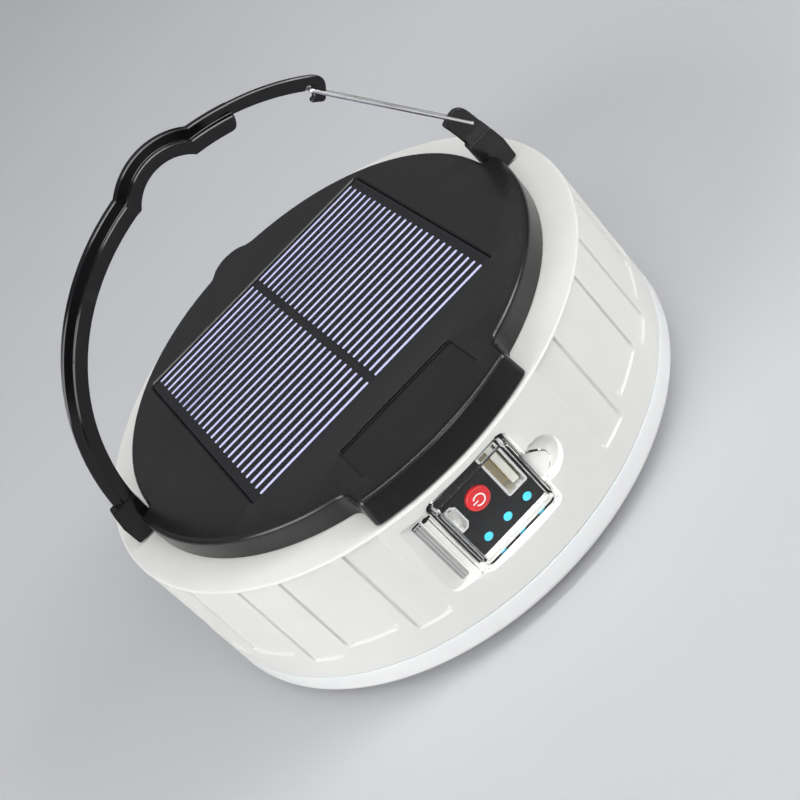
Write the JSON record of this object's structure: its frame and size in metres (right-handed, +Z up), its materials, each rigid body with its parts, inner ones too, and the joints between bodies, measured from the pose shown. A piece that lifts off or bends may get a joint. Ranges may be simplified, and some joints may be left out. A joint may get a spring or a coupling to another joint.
{
  "type": "solar lantern",
  "caption": "Round solar camping lantern with a folding carabiner handle, wire gate, clear port cover, power button and milky diffuser.",
  "frame": {"origin": "centre of the flat patch under the diffuser, on which the lantern stands", "axes": "+Z up through the solar panel, -Y out of the control window, X along the handle's pivot axis"},
  "size_m": [0.1408, 0.1416, 0.1175],
  "materials": {
    "white_abs": "fine satin moulded white ABS",
    "milky_pc": "milky polycarbonate, smooth",
    "seal_silicone": "soft grey silicone",
    "black_abs": "black ABS, fine spark texture",
    "black_plate": "black printed plate",
    "board_black": "black solder mask and moulded epoxy",
    "cell_dark": "dark thin-film cell",
    "cell_lines": "pale lavender printed lines",
    "clear_resin": "clear laminate",
    "steel_wire": "bright drawn spring wire",
    "steel_bright": "bright plated steel",
    "connector_tan": "pale connector plastic",
    "contact_gold": "gold-plated contacts",
    "lamp_cyan": "lit cyan light pipe",
    "led_white": "phosphor LED package",
    "button_red": "red moulded button",
    "board_green": "green circuit board",
    "board_white": "white solder mask",
    "clear_pc": "clear polycarbonate",
    "cell_wrap": "blue shrink-wrapped cylindrical cells"
  },
  "bodies": {
    "lantern": {"body_shell": "white_abs", "diffuser": "milky_pc", "seal_ring": "seal_silicone", "inner_frame": "white_abs", "battery_tray": "white_abs", "top_cap": "black_abs", "window_plate": "black_plate", "solar_backing": "board_black", "solar_cells": "cell_dark", "solar_fingers": "cell_lines", "solar_laminate": "clear_resin", "pivot_pins": "steel_bright", "cap_screws": "steel_bright", "frame_screws": "steel_bright", "led_board_screws": "steel_bright", "board_screws": "steel_bright", "usb_a_shell": "steel_bright", "micro_usb_shell": "steel_bright", "usb_a_tongue": "connector_tan", "micro_usb_tongue": "board_black", "usb_a_contacts": "contact_gold", "indicator_lamps": "lamp_cyan", "indicator_leds": "led_white", "led_chips": "led_white", "tact_switch": "board_black", "control_board": "board_green", "control_chips": "board_black", "cover_strap": "clear_pc", "led_board": "board_white", "battery_cells": "cell_wrap", "battery_strips": "steel_bright"},
    "handle": {"handle": "black_abs"},
    "gate_arm": {"gate_arm": "black_abs"},
    "wire_gate": {"wire_gate": "steel_wire"},
    "power_button": {"power_button": "button_red"},
    "port_cover": {"port_cover": "clear_pc"}
  },
  "joints": [
    {"name": "handle_fold", "type": "hinge", "parent": "lantern", "child": "handle", "pos_m": [-0.057, 0, 0.0511], "axis": [1, 0, 0], "range_deg": [-90, 0]},
    {"name": "gate_arm_fold", "type": "hinge", "parent": "lantern", "child": "gate_arm", "pos_m": [0.057, 0, 0.0511], "axis": [1, 0, 0], "range_deg": [-90, 0]},
    {"name": "gate_open", "type": "hinge", "parent": "gate_arm", "child": "wire_gate", "pos_m": [0.062, 0, 0.0636], "axis": [0, -1, 0], "range_deg": [0, 10], "stiffness_Nm_per_rad": 0.02, "springref_deg": -17.19},
    {"name": "button_press", "type": "slide", "parent": "lantern", "child": "power_button", "axis": [0, 1, 0], "range_m": [0, 0.0006], "stiffness_N_per_m": 1500, "springref_m": -0.0003},
    {"name": "cover_open", "type": "hinge", "parent": "lantern", "child": "port_cover", "pos_m": [-0.0147, -0.0687, 0.033], "axis": [0, 0, -1], "range_deg": [0, 110]}
  ],
  "couplings": [
    {"joint": "gate_arm_fold", "follows": "handle_fold", "ratio": 1}
  ]
}
